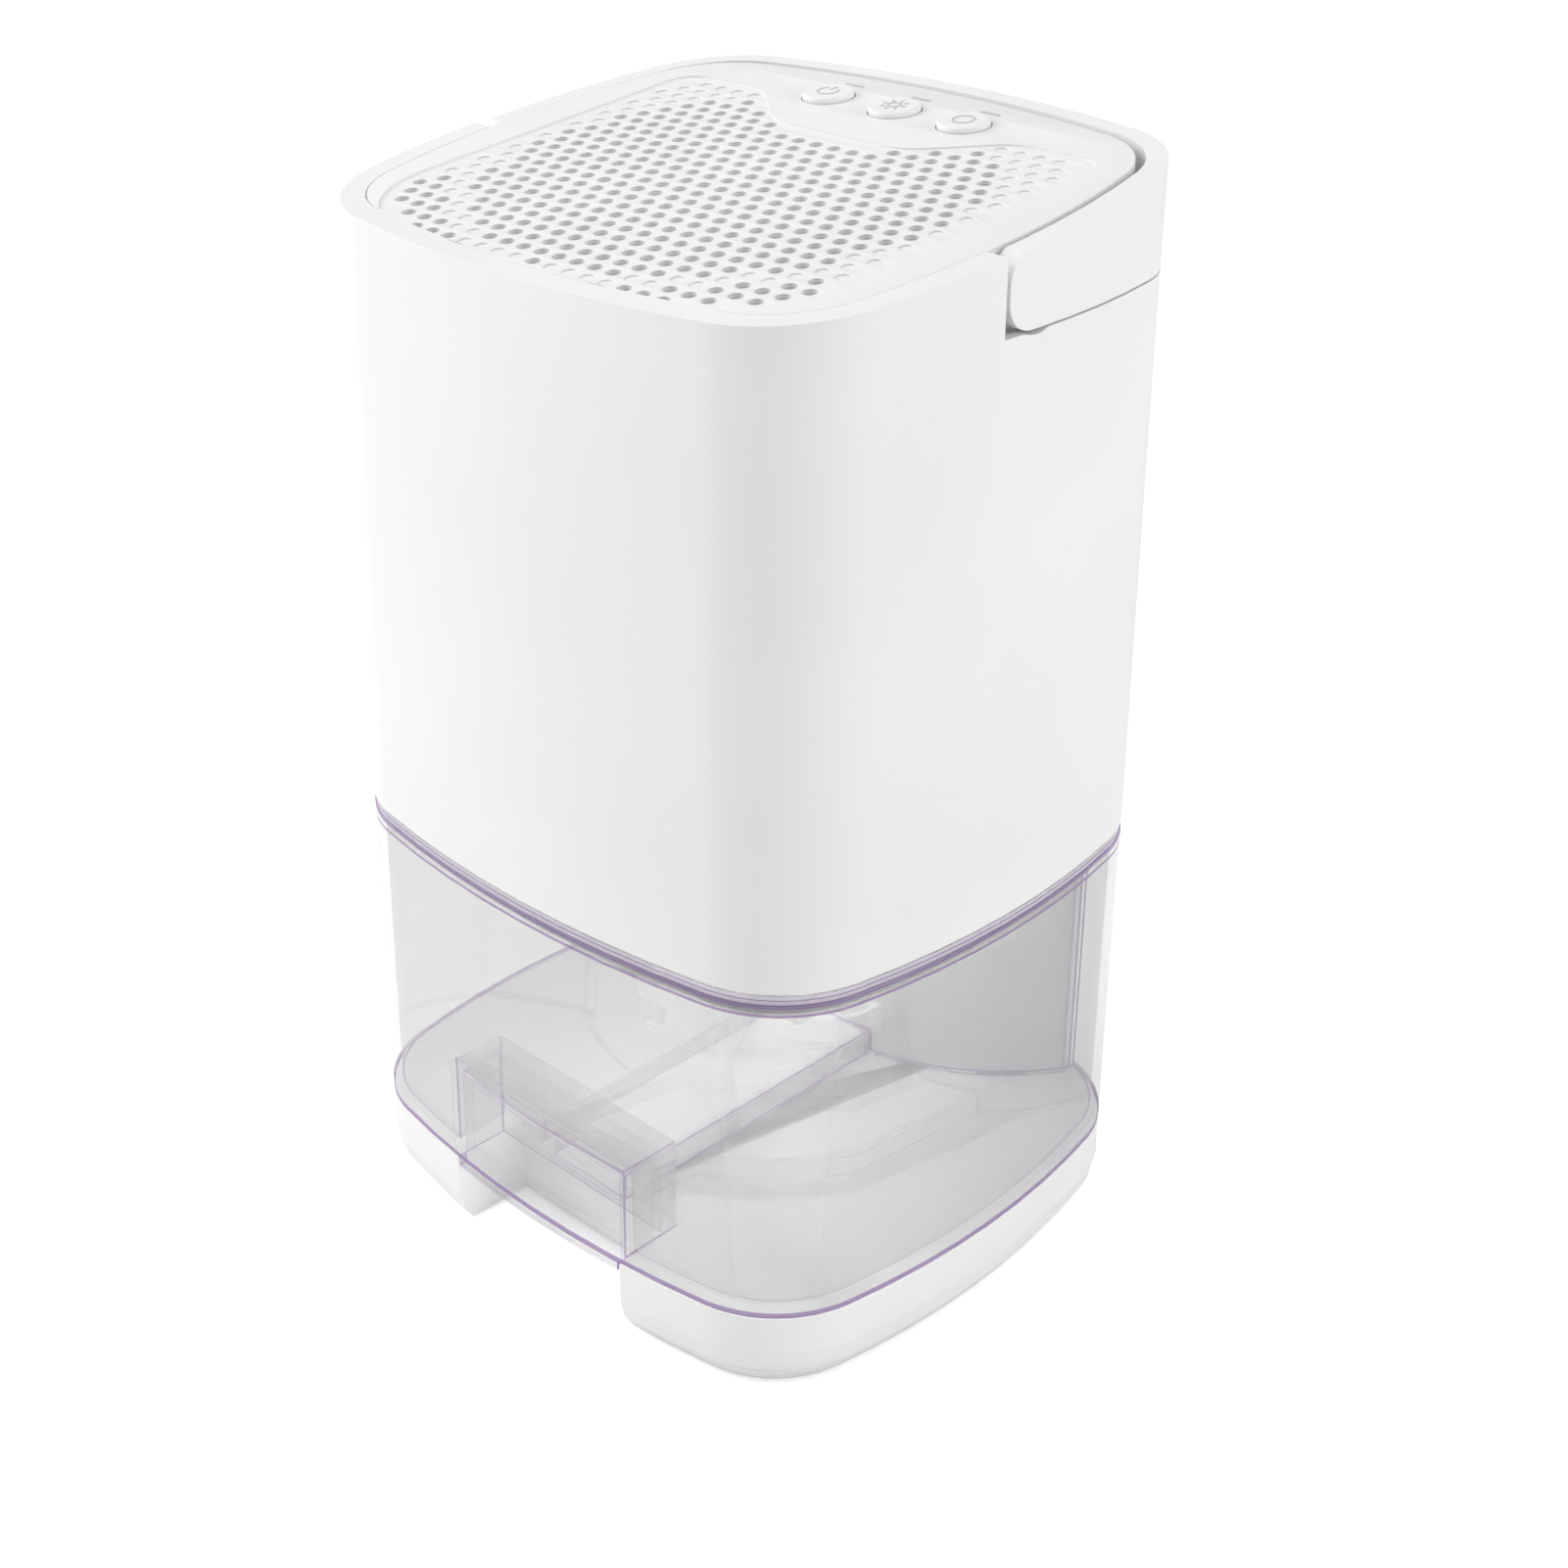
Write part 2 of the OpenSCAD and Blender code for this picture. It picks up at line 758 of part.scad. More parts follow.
// Staggered rows of air holes: blind dimples too, or only the through holes
module air_holes(blind_too) {
    row = hole_pitch * sqrt(3) / 2;
    rows = ceil((wave_side_y - field_front) / row);
    cols = ceil(field_half_w / hole_pitch) + 1;
    margin = hole_d / 2 + 0.8;
    for (j = [0:rows], i = [-cols:cols]) {
        x = (i + (j % 2) / 2) * hole_pitch;
        y = field_front + margin + j * row;
        d = norm([x, y - outlet_y]);
        through = d < outlet_r || (d > band_r && y < band_y);
        if (in_field(x, y, margin - 0.2) && (through || blind_too))
            translate([x, y / cos(slope_deg)]) circle(r = hole_d / 2, $fn = 10);
    }
}

module at_buttons(y) {
    on_top() for (i = [-1:1]) translate([i * button_pitch, y / cos(slope_deg), 0]) children();
}

// One layer of the cover, cut square to its surface, from z1 down to z0
module cover_layer(z0, z1) {
    on_top() translate([0, 0, z0]) linear_extrude(height = z1 - z0) difference() {
        polygon(on_slope(cover_points(0)));
        for (i = [-1:1]) translate([i * button_pitch, button_y / cos(slope_deg)])
            circle(r = button_d / 2 + button_gap);
        children();
    }
}

module top_cover() {
    color(white) {
        cover_layer(-field_depth, 0) polygon(on_slope(field_points()));
        cover_layer(-dimple_depth - field_depth, -field_depth) air_holes(true);
        cover_layer(-cover_t, -dimple_depth - field_depth) air_holes(false);
        difference() {
            board_posts(3, -cover_t, board_top);
            board_posts(1, -cover_t - 1.5, board_top - 1);
        }
    }
}

module board_posts(r, z0, z1) {
    on_top() for (sx = [-1, 1], sy = [-1, 1])
        translate([sx * (board_half_w - 3.5), board_y + sy * (board_d / 2 - 3.5), z1])
            cylinder(h = z0 - z1, r = r);
}

module button(i) {
    color(white) on_top() translate([i * button_pitch, button_y / cos(slope_deg), 0]) {
        translate([0, 0, flange_z - 0.01])
            cylinder(h = button_proud - flange_z + 0.01, r = button_d / 2);
        translate([0, 0, flange_z - flange_t]) cylinder(h = flange_t, r = flange_r);
        translate([0, 0, stem_end]) cylinder(h = flange_z - flange_t - stem_end + 0.01, r = stem_r);
    }
}

module control_board() {
    color("seagreen") difference() {
        on_top() translate([-board_half_w, board_y - board_d / 2, board_top - board_t])
            cube([2 * board_half_w, board_d, board_t]);
        board_posts(1.1, board_top + 1, board_top - board_t - 1);
    }
}

module tact_switches() {
    color("black") at_buttons(button_y) {
        translate([-switch_w / 2, -switch_w / 2, board_top]) cube([switch_w, switch_w, switch_h]);
        translate([0, 0, board_top + switch_h - 0.01]) cylinder(h = plunger_h + 0.01, r = 1.7);
    }
}

module board_screws() {
    color("silver") on_top() for (sx = [-1, 1], sy = [-1, 1])
        translate([
            sx * (board_half_w - 3.5), board_y + sy * (board_d / 2 - 3.5), board_top - board_t
        ]) screw(board_t + 4, 1, 2, 1.2);
}

module led_places() {
    for (sx = [-1:1], sy = [-1, 1])
        translate([sx * 22, stack_y + sy * (tray_w / 2 - 10), 0]) children();
}

module light_board() {
    for (sy = [-1, 1]) translate([0, stack_y + sy * (tray_w / 2 - 10), plate_top])
        color("seagreen") translate([-30, -4, 0]) cube([60, 8, 1.2]);
    color("white") led_places() translate([-led_w / 2, -led_w / 2, plate_top - 1.2])
        cube([led_w, led_w, 1.21]);
}

module reed_sensor() {
    color("dimgray") translate([float_x, float_y, plate_top]) {
        translate([-6, -3, 0]) cube([12, 6, 1.5]);
    }
}

module dc_jack() {
    color("black") translate([jack_x, jack_face_y, jack_z]) rotate([-90, 0, 0]) difference() {
        union() {
            translate([0, 0, -14]) cylinder(h = 14, r = jack_r);
            translate([-7, -7, -16]) cube([14, 14, 11]);
        }
        difference() {
            translate([0, 0, -10]) cylinder(h = 11, r = jack_bore_r);
            translate([0, 0, -11]) cylinder(h = 10.5, r = jack_pin_r);
        }
    }
}

module rod(a, b, r) {
    d = b - a;
    translate(a) rotate([0, acos(d[2] / norm(d)), atan2(d[1], d[0])])
        translate([0, 0, -r / 2]) cylinder(h = norm(d) + r, r = r, $fn = 8);
}

module wire(points, r) {
    for (i = [1:len(points) - 1]) rod(points[i - 1], points[i], r);
}

module wire_harness() {
    up = top_mid_z + board_top - 8;
    color("firebrick") wire([
        [jack_x + 5, jack_face_y - 17, jack_z], [jack_x + 23.5, boss_y - 3.4, jack_z + 14],
        [boss_x + 2, 10, jack_z + 40], [boss_x + 2, 10, fan_z], [boss_x + 1, 20, up - 4]
    ], 1);
    color("dimgray") wire([
        [jack_x + 1, jack_face_y - 17, jack_z], [jack_x + 21.8, boss_y - 3.4, jack_z + 17],
        [boss_x - 1, 7, jack_z + 42], [boss_x - 1, 7, fan_z], [boss_x - 2, 20, up - 4]
    ], 1);
}

module grip_pocket(more, z0, z1) {
    translate([-pocket_half_w - more, -far / 2, z0])
        cube([2 * (pocket_half_w + more), far / 2 - body_d / 2 + pocket_depth + more, z1 - z0]);
}

module tank_groove(more, z0, z1) {
    y0 = -body_d / 2 + pocket_depth + 0.5;
    translate([-groove_half_w - more, y0 - more, z0])
        cube([2 * (groove_half_w + more), column_y - column_r - y0 + more + groove_runout, z1 - z0]);
}

module tank_plan(inset) {
    difference() {
        outline(inset);
        column_plan(tank_gap + inset);
    }
}

module water_tank() {
    color(clear) difference() {
        union() {
            prism(tank_z, tank_top) tank_plan(0);
            intersection() {
                prism(panel_z, tank_z + 1) outline(0);
                grip_pocket(-tank_wall, 0, far);
            }
        }
        difference() {
            prism(tank_z + tank_floor, far) tank_plan(tank_wall);
            grip_pocket(0, 0, pocket_top);
            tank_groove(tank_wall, 0, tank_z + groove_h + tank_wall);
        }
        intersection() {
            grip_pocket(-tank_wall, 0, pocket_top - tank_wall);
            prism(0, far) outline(tank_wall);
        }
        tank_groove(0, 0, tank_z + groove_h);
    }
}

module tank_lid() {
    color(clear) difference() {
        union() {
            prism(tank_top, lid_top) tank_plan(0.3);
            prism(tank_top - lid_plug_h, tank_top + 0.01) tank_plan(lid_inset);
        }
        prism(0, lid_top - lid_flange_t) tank_plan(lid_inset + 2);
        prism(tank_top - lid_plug_h + 1, tank_top - lid_plug_h + 1 + seal_h) difference() {
            outline(0);
            tank_plan(lid_inset + 0.8);
        }
        translate([0, stack_y, 0]) cylinder(h = far, r = drip_hole_r);
        translate([pour_x, pour_y, 0]) cylinder(h = far, r = pour_r);
        at_guides() cylinder(h = far, r = guide_r);
    }
}

module tank_seal() {
    color("lightgray") prism(tank_top - lid_plug_h + 1, tank_top - lid_plug_h + 1 + seal_h)
        difference() {
            tank_plan(tank_wall);
            tank_plan(lid_inset + 0.8);
        }
}

module lid_plug() {
    color("lightgray") translate([pour_x, pour_y, lid_top - 2.6]) {
        cylinder(h = 2.4, r = pour_r);
        translate([0, 0, -1]) cylinder(h = 1.1, r = pour_r - 0.6);
    }
}

module at_guides() {
    for (s = [-1, 1]) translate([float_x + s * guide_x, float_y, 0]) children();
}

module float_guide() {
    foot_z = float_rest - 3;
    color(white) {
        at_guides() translate([0, 0, foot_z]) cylinder(h = lid_top - foot_z - 0.2, r = guide_r);
        translate([float_x - guide_x - guide_r, float_y - 3, foot_z - 2])
            cube([2 * (guide_x + guide_r), 6, 2.01]);
    }
}

module tank_float() {
    color("white") translate([float_x, float_y, float_rest]) difference() {
        union() {
            cylinder(h = float_h, r = float_r);
            translate([-guide_x - 3.5, -3.5, 3]) cube([2 * guide_x + 7, 7, 6]);
        }
        translate([0, 0, float_h - magnet_h - 0.5]) cylinder(h = far, r = magnet_r);
        for (s = [-1, 1]) translate([s * guide_x, 0, -1]) cylinder(h = far, r = guide_r + 0.4);
    }
}

module float_magnet() {
    color("gray") translate([float_x, float_y, float_rest + float_h - magnet_h - 0.5])
        cylinder(h = magnet_h, r = magnet_r);
}

front_shell();
rear_shell();
rear_column();
base_tray();
rubber_feet();
base_screws();
bottom_plate();
column_screws();
body_screws();
drip_tray();
cold_sink();
peltier_module();
foam_gasket();
hot_sink();
sink_screws();
air_duct();
fan_frame();
fan_rotor();
fan_screws();
top_cover();
button(-1);  // button_power
button(0);  // button_light
button(1);  // button_mode
control_board();
tact_switches();
board_screws();
light_board();
reed_sensor();
dc_jack();
wire_harness();
handle_pins();
handle();
water_tank();
tank_lid();
tank_seal();
lid_plug();
float_guide();
tank_float();
float_magnet();
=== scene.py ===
# Small thermoelectric dehumidifier: white ABS housing over a clear slide-out tank.
import json
from math import atan, cos, degrees, hypot, pi, radians, sin, sqrt

import bpy
import bmesh
from mathutils import Matrix, Vector

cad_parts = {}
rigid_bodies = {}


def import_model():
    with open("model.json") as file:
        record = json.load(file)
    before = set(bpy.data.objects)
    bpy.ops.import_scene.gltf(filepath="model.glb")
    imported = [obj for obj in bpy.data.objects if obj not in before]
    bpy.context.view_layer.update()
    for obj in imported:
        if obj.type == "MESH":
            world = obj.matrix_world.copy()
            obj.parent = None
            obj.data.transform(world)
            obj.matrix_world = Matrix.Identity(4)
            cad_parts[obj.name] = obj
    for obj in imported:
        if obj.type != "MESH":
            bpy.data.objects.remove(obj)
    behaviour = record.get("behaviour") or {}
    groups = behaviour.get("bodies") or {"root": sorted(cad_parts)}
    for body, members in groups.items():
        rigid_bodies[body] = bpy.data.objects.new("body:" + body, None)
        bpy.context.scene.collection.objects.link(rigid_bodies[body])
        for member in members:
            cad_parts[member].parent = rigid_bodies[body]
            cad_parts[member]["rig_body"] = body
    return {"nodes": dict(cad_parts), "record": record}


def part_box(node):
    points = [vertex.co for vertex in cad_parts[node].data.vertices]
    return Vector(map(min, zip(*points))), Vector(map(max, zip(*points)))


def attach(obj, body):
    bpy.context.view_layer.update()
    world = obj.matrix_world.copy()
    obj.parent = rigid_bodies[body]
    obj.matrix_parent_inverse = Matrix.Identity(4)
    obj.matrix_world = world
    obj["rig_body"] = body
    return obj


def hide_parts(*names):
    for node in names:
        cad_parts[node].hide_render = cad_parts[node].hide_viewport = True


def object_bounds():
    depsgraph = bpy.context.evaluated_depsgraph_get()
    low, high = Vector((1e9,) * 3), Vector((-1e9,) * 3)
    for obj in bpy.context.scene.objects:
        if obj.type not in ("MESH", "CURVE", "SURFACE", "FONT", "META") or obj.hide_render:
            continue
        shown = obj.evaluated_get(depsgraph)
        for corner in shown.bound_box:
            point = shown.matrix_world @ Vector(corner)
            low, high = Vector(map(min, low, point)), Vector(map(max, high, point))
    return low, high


mm = 0.001

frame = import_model()
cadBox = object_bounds()
scene = bpy.context.scene
print("frame loaded:", len(frame["nodes"]), "nodes")


def hexColour(code):
    channels = [int(code[i:i + 2], 16) / 255 for i in (1, 3, 5)]
    return [c / 12.92 if c <= 0.04045 else ((c + 0.055) / 1.055) ** 2.4 for c in channels] + [1]


# settings are a node's own options or its socket values, links are socket: source
def addNode(tree, kind, settings=None, links=None):
    node = tree.nodes.new(kind)
    for name, value in (settings or {}).items():
        if hasattr(node, name):
            setattr(node, name, value)
        else:
            node.inputs[name].default_value = value
    for name, source in (links or {}).items():
        tree.links.new(source, node.inputs[name])
    return node


def startMaterial(name, settings):
    material = bpy.data.materials.new(name)
    material.use_nodes = True
    material.node_tree.nodes.clear()
    tree = material.node_tree
    shader = addNode(tree, "ShaderNodeBsdfPrincipled", settings)
    addNode(tree, "ShaderNodeOutputMaterial", None, {"Surface": shader.outputs["BSDF"]})
    place = addNode(tree, "ShaderNodeTexCoord").outputs["Object"]
    return material, tree, shader, place


# noise whose lumps are about size millimetres across, mapped from low to high
def noiseRange(tree, place, size, low, high, detail=2.0):
    noise = addNode(tree, "ShaderNodeTexNoise", {"Scale": 1 / (size * mm), "Detail": detail},
                    {"Vector": place})
    return addNode(tree, "ShaderNodeMapRange",
                   {"From Min": 0.3, "From Max": 0.7, "To Min": low, "To Max": high},
                   {"Value": noise.outputs["Fac"]}).outputs["Result"]


# a colour that drifts between two shades in patches of size millimetres
def driftingColour(tree, shader, place, size, dark, light):
    patches = noiseRange(tree, place, size, 0, 1)
    mix = addNode(tree, "ShaderNodeMix", {"data_type": "RGBA"}, {"Factor": patches})
    mix.inputs[6].default_value = hexColour(dark)
    mix.inputs[7].default_value = hexColour(light)
    tree.links.new(mix.outputs[2], shader.inputs["Base Color"])


# injection-moulded ABS with a spark-eroded satin grain: soft broad highlights, no mirror image
def mouldedAbs(name, dark, light, roughness, grain=0.5, bump=0.1):
    material, tree, shader, place = startMaterial(name, {"IOR": 1.52})
    driftingColour(tree, shader, place, 70, dark, light)
    worn = noiseRange(tree, place, 18, roughness - 0.04, roughness + 0.04)
    tree.links.new(worn, shader.inputs["Roughness"])
    # real grain is about 0.15 mm, drawn coarser so that it shows
    relief = addNode(tree, "ShaderNodeBump", {"Strength": bump, "Distance": 0.02 * mm},
                     {"Height": noiseRange(tree, place, grain, 0, 1, 1.0)})
    tree.links.new(relief.outputs["Normal"], shader.inputs["Normal"])
    return material


# clear moulded polycarbonate: smooth, faintly milky, with slow waves from the mould's flow
def clearPolycarbonate(name, colour, shade, roughness, clear, milky, waves=0.2):
    material, tree, shader, place = startMaterial(name, {
        "Base Color": hexColour(colour), "Transmission Weight": 1 - milky, "IOR": 1.45,
    })
    haze = noiseRange(tree, place, 25, roughness, roughness + 0.05)
    tree.links.new(haze, shader.inputs["Roughness"])
    relief = addNode(tree, "ShaderNodeBump", {"Strength": waves, "Distance": 0.15 * mm},
                     {"Height": noiseRange(tree, place, 30, 0, 1, 1.0)})
    tree.links.new(relief.outputs["Normal"], shader.inputs["Normal"])
    # thin walls hardly bend what is behind them, and the lamps reach what stands inside
    through = addNode(tree, "ShaderNodeBsdfTransparent", {"Color": hexColour(shade)})
    wall = addNode(tree, "ShaderNodeMixShader", {"Fac": clear})
    tree.links.new(shader.outputs["BSDF"], wall.inputs[1])
    tree.links.new(through.outputs["BSDF"], wall.inputs[2])
    lampLight = addNode(tree, "ShaderNodeBsdfTransparent", {"Color": hexColour("#FDFDFD")})
    ray = addNode(tree, "ShaderNodeLightPath")
    mix = addNode(tree, "ShaderNodeMixShader", None, {"Fac": ray.outputs["Is Shadow Ray"]})
    tree.links.new(wall.outputs["Shader"], mix.inputs[1])
    tree.links.new(lampLight.outputs["BSDF"], mix.inputs[2])
    output = [node for node in tree.nodes if node.bl_idname == "ShaderNodeOutputMaterial"][0]
    tree.links.new(mix.outputs["Shader"], output.inputs["Surface"])
    return material


# nitrile and silicone rubber: dull, with a fine talc bloom
def mouldedRubber(name, dark, light, roughness):
    material, tree, shader, place = startMaterial(name, {"IOR": 1.5, "Sheen Weight": 0.15})
    driftingColour(tree, shader, place, 3, dark, light)
    tree.links.new(noiseRange(tree, place, 1.2, roughness - 0.08, roughness + 0.08),
                   shader.inputs["Roughness"])
    relief = addNode(tree, "ShaderNodeBump", {"Strength": 0.3, "Distance": 0.03 * mm},
                     {"Height": noiseRange(tree, place, 0.4, 0, 1)})
    tree.links.new(relief.outputs["Normal"], shader.inputs["Normal"])
    return material


# extruded aluminium: die lines run along the fins and stretch the highlight across them
def extrudedAluminium():
    material, tree, shader, place = startMaterial("extrudedAluminium", {"Metallic": 1})
    driftingColour(tree, shader, place, 25, "#B9BCC0", "#D6D8DB")
    stretched = addNode(tree, "ShaderNodeMapping", {"Scale": (1, 0.03, 1)}, {"Vector": place})
    lines = noiseRange(tree, stretched.outputs["Vector"], 0.35, 0, 1, 3)
    tree.links.new(addNode(tree, "ShaderNodeMapRange", {"To Min": 0.28, "To Max": 0.5},
                           {"Value": lines}).outputs["Result"], shader.inputs["Roughness"])
    relief = addNode(tree, "ShaderNodeBump", {"Strength": 0.2, "Distance": 0.02 * mm},
                     {"Height": lines})
    tree.links.new(relief.outputs["Normal"], shader.inputs["Normal"])
    return material


# zinc-plated steel: bluish grey, with blotches from the bath
def zincPlatedSteel():
    material, tree, shader, place = startMaterial("zincPlatedSteel", {"Metallic": 1})
    driftingColour(tree, shader, place, 2, "#8E9196", "#B4B7BB")
    tree.links.new(noiseRange(tree, place, 0.8, 0.25, 0.5), shader.inputs["Roughness"])
    return material


# glass-epoxy board under green solder resist, with the copper tracks showing as paler lines
def solderResist():
    material, tree, shader, place = startMaterial("solderResist", {"IOR": 1.55, "Coat Weight": 0.4})
    tracks = addNode(tree, "ShaderNodeTexBrick", {
        "Scale": 1 / (2.6 * mm), "Color1": hexColour("#17623A"), "Color2": hexColour("#1B6D41"),
        "Mortar": hexColour("#3C8F5C"), "Mortar Size": 0.03, "Brick Width": 1.9, "Row Height": 0.7,
    }, {"Vector": place})
    tree.links.new(tracks.outputs["Color"], shader.inputs["Base Color"])
    tree.links.new(noiseRange(tree, place, 4, 0.25, 0.4), shader.inputs["Roughness"])
    return material


# expanded foam: pale beads or black cells with dark gaps between them
def cellFoam(name, dark, light, cell):
    material, tree, shader, place = startMaterial(name, {"IOR": 1.4, "Sheen Weight": 0.1})
    cells = addNode(tree, "ShaderNodeTexVoronoi", {"Scale": 1 / (cell * mm)}, {"Vector": place})
    mix = addNode(tree, "ShaderNodeMix", {"data_type": "RGBA"},
                  {"Factor": cells.outputs["Distance"]})
    mix.inputs[6].default_value = hexColour(light)
    mix.inputs[7].default_value = hexColour(dark)
    tree.links.new(mix.outputs[2], shader.inputs["Base Color"])
    tree.links.new(noiseRange(tree, place, cell, 0.7, 0.9), shader.inputs["Roughness"])
    relief = addNode(tree, "ShaderNodeBump", {"Strength": 0.5, "Distance": 0.2 * mm},
                     {"Height": cells.outputs["Distance"]})
    tree.links.new(relief.outputs["Normal"], shader.inputs["Normal"])
    return material


# unglazed alumina: chalky white with faint grey specks
def unglazedAlumina():
    material, tree, shader, place = startMaterial("unglazedAlumina", {"IOR": 1.65})
    driftingColour(tree, shader, place, 0.6, "#DEDDD6", "#EFEEE8")
    tree.links.new(noiseRange(tree, place, 0.5, 0.6, 0.8), shader.inputs["Roughness"])
    return material


finishes = {
    "white_shell": mouldedAbs("satinWhiteAbs", "#F3F3F3", "#F8F8F8", 0.42),
    "white_inner": mouldedAbs("innerWhiteAbs", "#EDEDED", "#F3F3F3", 0.5, 0.8, 0.15),
    "clear_tank": clearPolycarbonate("clearPolycarbonate", "#F4F4F4", "#F4F4F4", 0.02, 0.72, 0.24),
    "silicone": mouldedRubber("pourSilicone", "#D6D6DA", "#E4E4E8", 0.45),
    "grey_rubber": mouldedRubber("nitrileRubber", "#3A3A3C", "#48484B", 0.7),
    "screw_steel": zincPlatedSteel(),
    "sink_aluminium": extrudedAluminium(),
    "module_ceramic": unglazedAlumina(),
    "black_foam": cellFoam("neopreneFoam", "#101010", "#1E1E1F", 0.9),
    "black_plastic": mouldedAbs("blackNylon", "#131314", "#1B1B1D", 0.45, 0.4, 0.2),
    "green_board": solderResist(),
    "wire_sleeve": mouldedRubber("pvcSleeve", "#7A1414", "#8E1C1A", 0.4),
    "white_foam": cellFoam("whiteBeadFoam", "#E2E2E0", "#F4F4F2", 2.2),
}
# painted light: violet colour for the lines where light trapped in the clear walls leaves them, on
# the rounded edges and the strips
violetEdgeLight = clearPolycarbonate("paintedVioletEdgeLight", "#A088B2", "#C4B0D4", 0.1, 0.25, 0.7)
frostedRim = clearPolycarbonate("frostedPolycarbonateRim", "#D8D2DE", "#E4DFE8", 0.25, 0.1, 0.9)
greyPrint = mouldedAbs("greyPadPrint", "#BEBEC2", "#CCCCD0", 0.5, 0.3, 0.05)
slotOfNode = {part["node"]: part["material_slot"] for part in frame["record"]["subparts"]}
bodyOfNode = {name: o["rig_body"] for name, o in frame["nodes"].items()}
print("materials made:", len(bpy.data.materials))


def linkMesh(name, mesh, materials):
    piece = bpy.data.objects.new(name, mesh)
    scene.collection.objects.link(piece)
    for material in materials:
        mesh.materials.append(material)
    return piece


def standFor(piece, *nodeNames):
    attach(piece, bodyOfNode[nodeNames[0]])
    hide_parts(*nodeNames)


def roundEdges(piece, width, segments=2, angle=32, edgeMaterial=-1):
    bevel = piece.modifiers.new("roundEdges", "BEVEL")
    bevel.width = width * mm
    bevel.segments = segments
    bevel.limit_method = "ANGLE"
    bevel.angle_limit = radians(angle)
    bevel.material = edgeMaterial
    bevel.miter_outer = "MITER_ARC"
    bevel.use_clamp_overlap = True
    normals = piece.modifiers.new("flatFaces", "WEIGHTED_NORMAL")
    normals.keep_sharp = True
    normals.weight = 80


# a merged copy of a CAD piece, with its edges softened; shape(work) may change it first
def softCopy(nodeName, width, segments=2, angle=32, materials=None, edgeMaterial=-1, smooth=28,
             shape=None):
    mesh = frame["nodes"][nodeName].data.copy()
    mesh.materials.clear()
    work = bmesh.new()
    work.from_mesh(mesh)
    bmesh.ops.remove_doubles(work, verts=work.verts, dist=1e-6)
    bmesh.ops.dissolve_limit(work, angle_limit=radians(0.6), verts=work.verts, edges=work.edges)
    for face in work.faces:
        face.smooth = True
        face.material_index = 0
    if shape:
        shape(work)
    for edge in work.edges:
        edge.smooth = edge.calc_face_angle(0) < radians(smooth)
    work.to_mesh(mesh)
    work.free()
    piece = linkMesh("soft_" + nodeName, mesh, materials or [finishes[slotOfNode[nodeName]]])
    roundEdges(piece, width, segments, angle, edgeMaterial)
    standFor(piece, nodeName)
    return piece


# rounds the sharp level edges at one height, where chosen(middle of the edge) says so
def roundLevel(work, height, radius, segments, chosen):
    edges = [e for e in work.edges
             if all(abs(v.co.z - height) < 0.05 * mm for v in e.verts)
             and e.calc_face_angle(0) > radians(40)
             and chosen((e.verts[0].co + e.verts[1].co) / 2)]
    if edges:
        bmesh.ops.bevel(work, geom=edges, offset=radius * mm, offset_type="OFFSET", affect="EDGES",
                        segments=segments, profile=0.5, material=-1, clamp_overlap=True)
    return len(edges)


camera = {"azimuth": 43.35, "elevation": 25.06, "roll": 0.71, "distance": 218 * mm,
          "target": (208.6 * mm, -208.8 * mm, 271.0 * mm), "lens": 56.47, "shiftY": -0.0788}


def makeCamera():
    data = bpy.data.cameras.new("camera")
    view = bpy.data.objects.new("camera", data)
    scene.collection.objects.link(view)
    az, el = radians(camera["azimuth"]), radians(camera["elevation"])
    back = Vector((sin(az) * cos(el), -cos(az) * cos(el), sin(el)))
    right = Vector((cos(az), sin(az), 0))
    turn = Matrix((right, back.cross(right), back)).transposed().to_4x4()
    turn = turn @ Matrix.Rotation(radians(camera["roll"]), 4, "Z")
    place = Vector(camera["target"]) + back * camera["distance"]
    view.matrix_world = Matrix.Translation(place) @ turn
    data.sensor_width = 36
    data.lens = camera["lens"]
    data.shift_y = camera["shiftY"]
    data.clip_start = 0.01
    scene.camera = view


studio = {"floorSize": 8, "aimHeight": 0.13, "glowSize": 0.1, "glowDrop": 9, "sky": 0.6,
          "backdrop": 1.0, "floorGlow": 0.52, "nightLight": 0.09}


# brightness that only the camera sees directly, over what lights and shows through the object
def seenDirectly(tree, direct, others):
    ray = addNode(tree, "ShaderNodeLightPath").outputs["Is Camera Ray"]
    return addNode(tree, "ShaderNodeMapRange", {"To Min": others, "To Max": direct},
                   {"Value": ray}).outputs["Result"]


